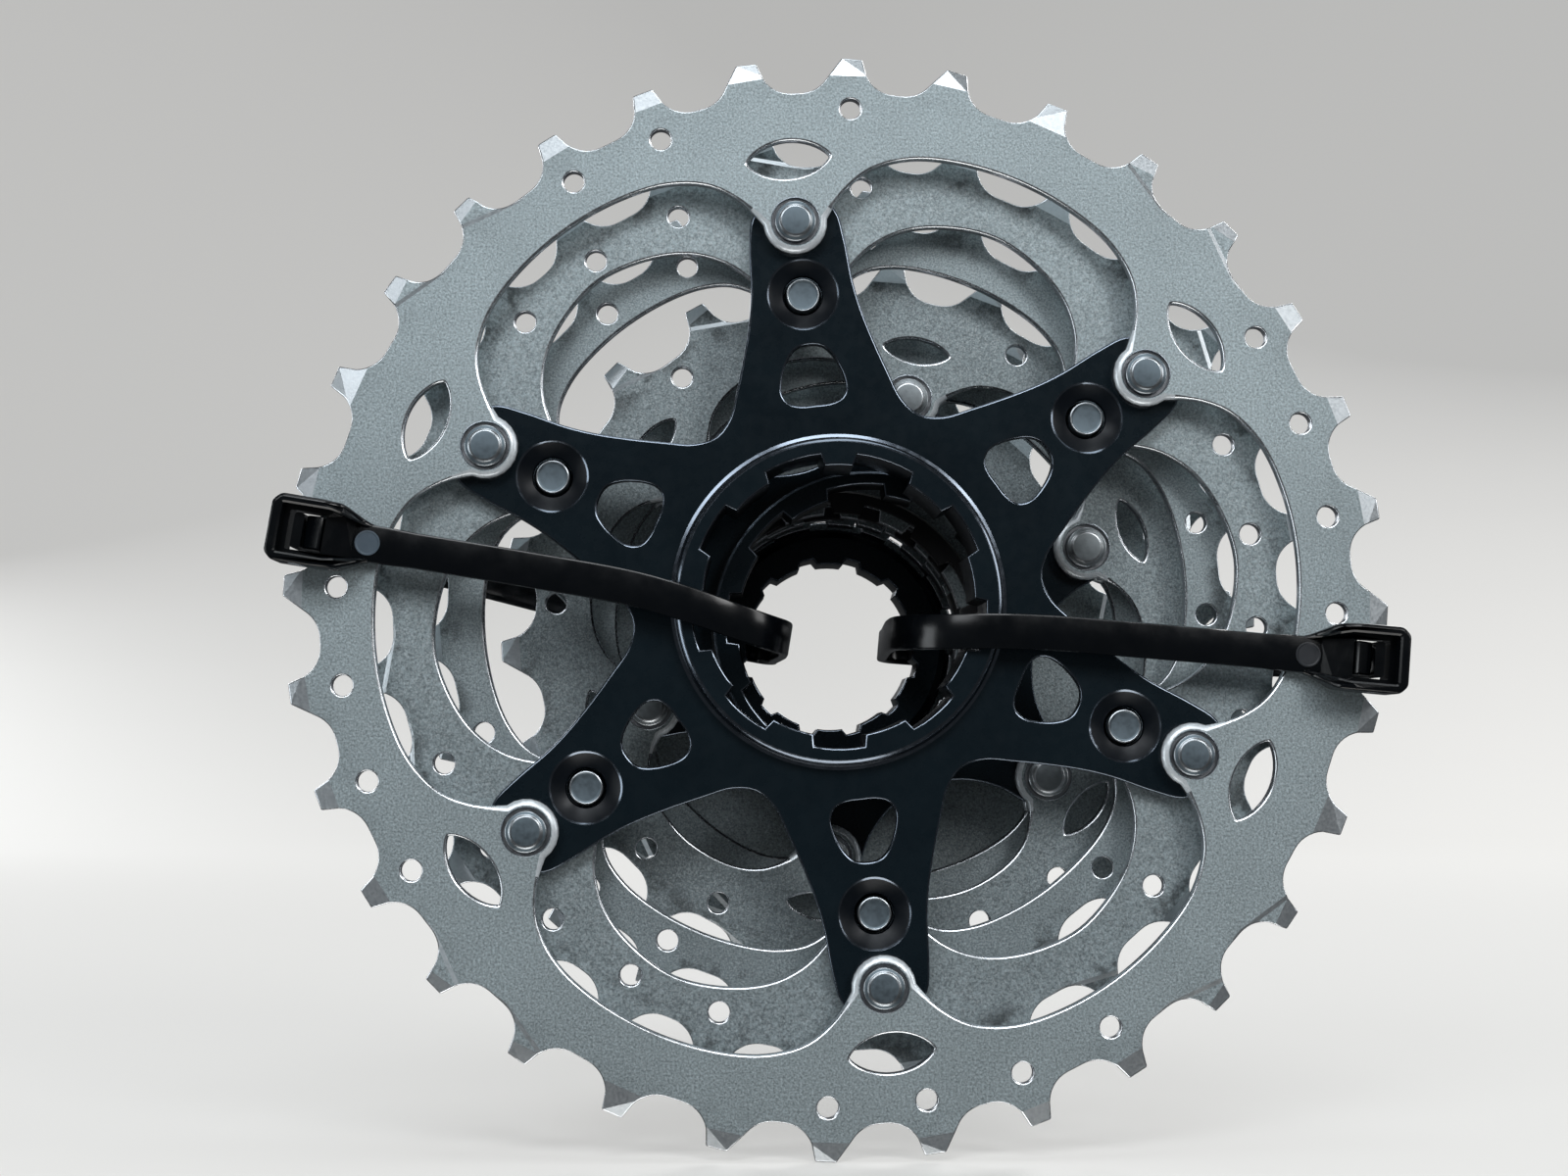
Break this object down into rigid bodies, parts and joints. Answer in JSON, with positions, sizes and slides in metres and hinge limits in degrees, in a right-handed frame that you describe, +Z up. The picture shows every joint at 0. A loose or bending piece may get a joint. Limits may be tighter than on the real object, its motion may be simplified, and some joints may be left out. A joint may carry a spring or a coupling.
{
  "type": "bicycle cassette sprocket",
  "caption": "Bicycle cassette: stepped sprockets on two black armed carriers and splined rings, with a lockring, bundled by two cable ties.",
  "frame": {"origin": "on the large cluster's axis, at the rear face of the large carrier's hub, where it meets a freehub's shoulder", "axes": "+Y along the large cluster's axis, from the wheel side to the lockring; +Z up as the bundle stands on its largest sprocket's teeth; +X to the right seen from the wheel side"},
  "size_m": [0.1326, 0.0508, 0.1304],
  "materials": {
    "sprocket_steel": "bead-blasted matte nickel plate with bright bevelled edges",
    "rivet_steel": "satin grey steel with a bright pressed rim",
    "black_anodised": "glossy black anodised",
    "black_spacer": "matte black resin",
    "black_nylon": "glossy black moulded nylon"
  },
  "bodies": {
    "large_cluster": {"cable_tie_left": "black_nylon", "cable_tie_right": "black_nylon", "carrier_large": "black_anodised", "collar_1": "rivet_steel", "collar_2": "rivet_steel", "collar_3": "rivet_steel", "collar_4": "rivet_steel", "collar_5": "rivet_steel", "collar_6": "rivet_steel", "rivet_inner_1": "rivet_steel", "rivet_inner_2": "rivet_steel", "rivet_inner_3": "rivet_steel", "rivet_inner_4": "rivet_steel", "rivet_inner_5": "rivet_steel", "rivet_inner_6": "rivet_steel", "rivet_outer_1": "rivet_steel", "rivet_outer_2": "rivet_steel", "rivet_outer_3": "rivet_steel", "rivet_outer_4": "rivet_steel", "rivet_outer_5": "rivet_steel", "rivet_outer_6": "rivet_steel", "sprocket_25t": "sprocket_steel", "sprocket_28t": "sprocket_steel", "sprocket_32t": "sprocket_steel"},
    "small_cluster": {"carrier_small": "black_anodised", "rivet_small_1": "rivet_steel", "rivet_small_2": "rivet_steel", "rivet_small_3": "rivet_steel", "rivet_small_4": "rivet_steel", "rivet_small_5": "rivet_steel", "rivet_small_6": "rivet_steel", "sprocket_20t": "sprocket_steel", "sprocket_22t": "sprocket_steel"},
    "loose_spacer_18_20": {"spacer_18_20": "black_spacer"},
    "loose_sprocket_18t": {"sprocket_18t": "sprocket_steel"},
    "loose_spacer_16_18": {"spacer_16_18": "black_spacer"},
    "loose_sprocket_16t": {"sprocket_16t": "sprocket_steel"},
    "loose_spacer_14_16": {"spacer_14_16": "black_spacer"},
    "loose_sprocket_14t": {"sprocket_14t": "sprocket_steel"},
    "loose_sprocket_13t": {"sprocket_13t": "sprocket_steel"},
    "loose_sprocket_12t": {"sprocket_12t": "sprocket_steel"},
    "loose_sprocket_11t": {"sprocket_11t": "sprocket_steel"},
    "loose_lockring_washer": {"lockring_washer": "sprocket_steel"},
    "loose_lockring": {"lockring": "black_anodised"}
  },
  "joints": [
    {"name": "turn_small_cluster", "type": "hinge", "parent": "large_cluster", "child": "small_cluster", "pos_m": [0.0042, 0.0138, -0.0024], "axis": [0, 1, 0], "continuous": true},
    {"name": "turn_spacer_18_20", "type": "hinge", "parent": "large_cluster", "child": "loose_spacer_18_20", "pos_m": [0.0005, 0.0176, -0.00385], "axis": [0, 1, 0], "continuous": true},
    {"name": "turn_sprocket_18t", "type": "hinge", "parent": "large_cluster", "child": "loose_sprocket_18t", "pos_m": [0.0005, 0.0195, -0.00385], "axis": [0, 1, 0], "continuous": true},
    {"name": "turn_spacer_16_18", "type": "hinge", "parent": "large_cluster", "child": "loose_spacer_16_18", "pos_m": [0.0005, 0.0214, -0.00385], "axis": [0, 1, 0], "continuous": true},
    {"name": "turn_sprocket_16t", "type": "hinge", "parent": "large_cluster", "child": "loose_sprocket_16t", "pos_m": [0.0005, 0.0232, -0.00385], "axis": [0, 1, 0], "continuous": true},
    {"name": "turn_spacer_14_16", "type": "hinge", "parent": "large_cluster", "child": "loose_spacer_14_16", "pos_m": [0.0005, 0.0251, -0.00385], "axis": [0, 1, 0], "continuous": true},
    {"name": "turn_sprocket_14t", "type": "hinge", "parent": "large_cluster", "child": "loose_sprocket_14t", "pos_m": [0.0005, 0.027, -0.00385], "axis": [0, 1, 0], "continuous": true},
    {"name": "turn_sprocket_13t", "type": "hinge", "parent": "large_cluster", "child": "loose_sprocket_13t", "pos_m": [0.0005, 0.0307, -0.00385], "axis": [0, 1, 0], "continuous": true},
    {"name": "turn_sprocket_12t", "type": "hinge", "parent": "large_cluster", "child": "loose_sprocket_12t", "pos_m": [0.0005, 0.0345, -0.00385], "axis": [0, 1, 0], "continuous": true},
    {"name": "turn_sprocket_11t", "type": "hinge", "parent": "large_cluster", "child": "loose_sprocket_11t", "pos_m": [0.0005, 0.0382, -0.00385], "axis": [0, 1, 0], "continuous": true},
    {"name": "turn_lockring_washer", "type": "hinge", "parent": "large_cluster", "child": "loose_lockring_washer", "pos_m": [0.0005, 0.0395, -0.00385], "axis": [0, 1, 0], "continuous": true},
    {"name": "turn_lockring", "type": "hinge", "parent": "large_cluster", "child": "loose_lockring", "pos_m": [0.0005, 0.041, -0.00385], "axis": [0, 1, 0], "continuous": true}
  ]
}
